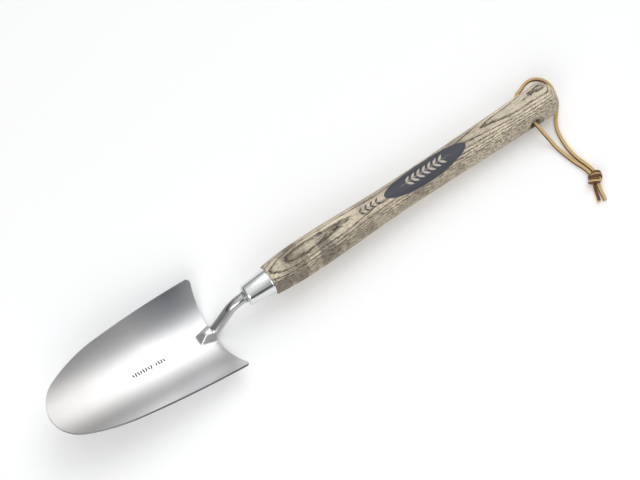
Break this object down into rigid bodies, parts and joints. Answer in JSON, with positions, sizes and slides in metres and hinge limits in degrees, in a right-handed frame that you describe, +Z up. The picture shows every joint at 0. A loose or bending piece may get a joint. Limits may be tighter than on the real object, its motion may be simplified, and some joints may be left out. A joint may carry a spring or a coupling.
{
  "type": "hand trowel",
  "caption": "Garden hand trowel: dished steel blade on a swan-neck shank, tapered ferrule, long turned ash handle and a leather hanging lace.",
  "frame": {"origin": "on the bench below the middle of the tool, as it lies on its heel and butt with the hollow of the blade up; the lace is left out of that middle", "axes": "+X from the blade's tip to the butt, +Z up, +Y across, to the side where the lace leaves first"},
  "size_m": [0.4982, 0.1435, 0.0425],
  "materials": {
    "satin_steel": "satin stainless sheet",
    "bright_steel": "polished stainless steel",
    "weld_steel": "dull weld bead",
    "ash": "weathered ash with an oiled matt surface",
    "label_print": "matt printed transfer",
    "thong": "cut leather thong"
  },
  "bodies": {
    "root": {"blade": "satin_steel", "shank": "bright_steel", "weld_beads": "weld_steel", "ferrule": "bright_steel", "handle": "ash", "label": "label_print", "lace_far_run": "thong", "lace_near_run": "thong", "lace_knot": "thong", "lace_tails": "thong"}
  },
  "joints": []
}
